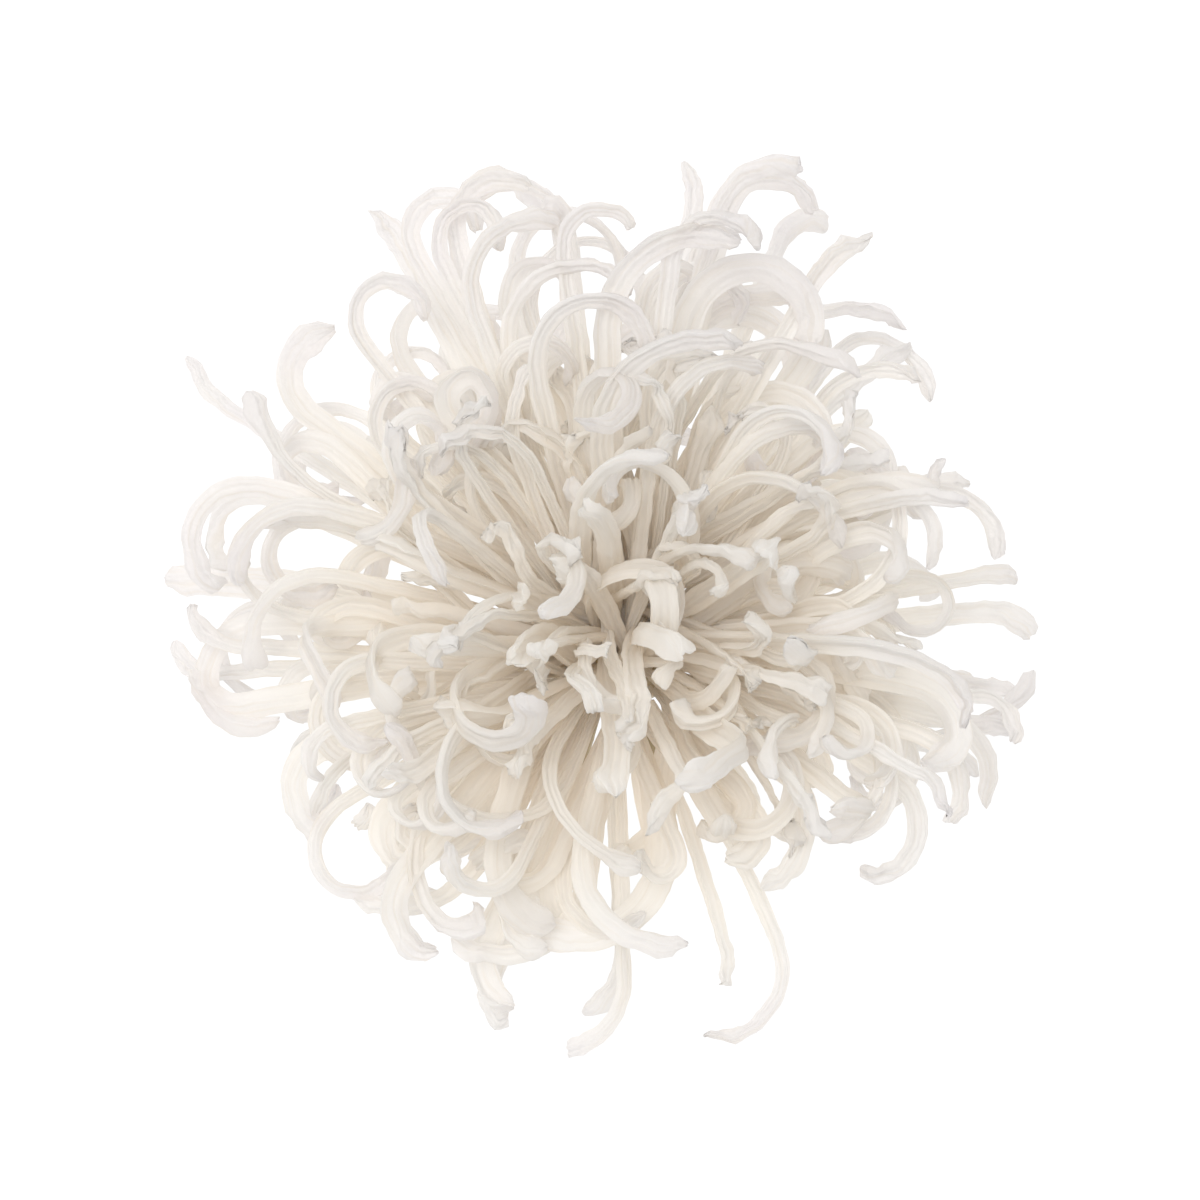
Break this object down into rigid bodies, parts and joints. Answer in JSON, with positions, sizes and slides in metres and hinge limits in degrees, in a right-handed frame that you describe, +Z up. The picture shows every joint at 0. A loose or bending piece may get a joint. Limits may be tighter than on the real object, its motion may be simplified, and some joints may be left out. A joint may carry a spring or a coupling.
{
  "type": "cut chrysanthemum",
  "caption": "Preserved white spider chrysanthemum head on a short cut stem, lying on its back: long thin tubular florets, hooked and curled at their ends, round one receptacle.",
  "frame": {"origin": "on the surface the flower lies on, under the middle of its bounding box", "axes": "+Z up out of the face of the flower, which looks up and leans 20 degrees towards +Y; +X to the viewer's right when looked down on with +Y away"},
  "size_m": [0.1162, 0.1166, 0.0582],
  "materials": {
    "floret": "bleached and preserved petal, satin, lightly veined, lets light through",
    "bract": "dry papery bract, matt",
    "stem": "dried woody stem, matt, lightly ribbed"
  },
  "bodies": {
    "root": {"floret_01": "floret", "floret_02": "floret", "floret_03": "floret", "floret_04": "floret", "floret_05": "floret", "floret_06": "floret", "floret_07": "floret", "floret_08": "floret", "floret_09": "floret", "floret_10": "floret", "floret_11": "floret", "floret_12": "floret", "floret_13": "floret", "floret_14": "floret", "floret_15": "floret", "floret_16": "floret", "floret_17": "floret", "floret_18": "floret", "floret_19": "floret", "floret_20": "floret", "floret_21": "floret", "floret_22": "floret", "floret_23": "floret", "floret_24": "floret", "floret_25": "floret", "floret_26": "floret", "floret_27": "floret", "floret_28": "floret", "floret_29": "floret", "floret_30": "floret", "floret_31": "floret", "floret_32": "floret", "floret_33": "floret", "floret_34": "floret", "floret_35": "floret", "floret_36": "floret", "floret_37": "floret", "floret_38": "floret", "floret_39": "floret", "floret_40": "floret", "floret_41": "floret", "floret_42": "floret", "floret_43": "floret", "floret_44": "floret", "floret_45": "floret", "floret_46": "floret", "floret_47": "floret", "floret_48": "floret", "floret_49": "floret", "floret_50": "floret", "bract_1": "bract", "bract_2": "bract", "bract_3": "bract", "bract_4": "bract", "bract_5": "bract", "bract_6": "bract", "bract_7": "bract", "bract_8": "bract", "stem": "stem"}
  },
  "joints": []
}
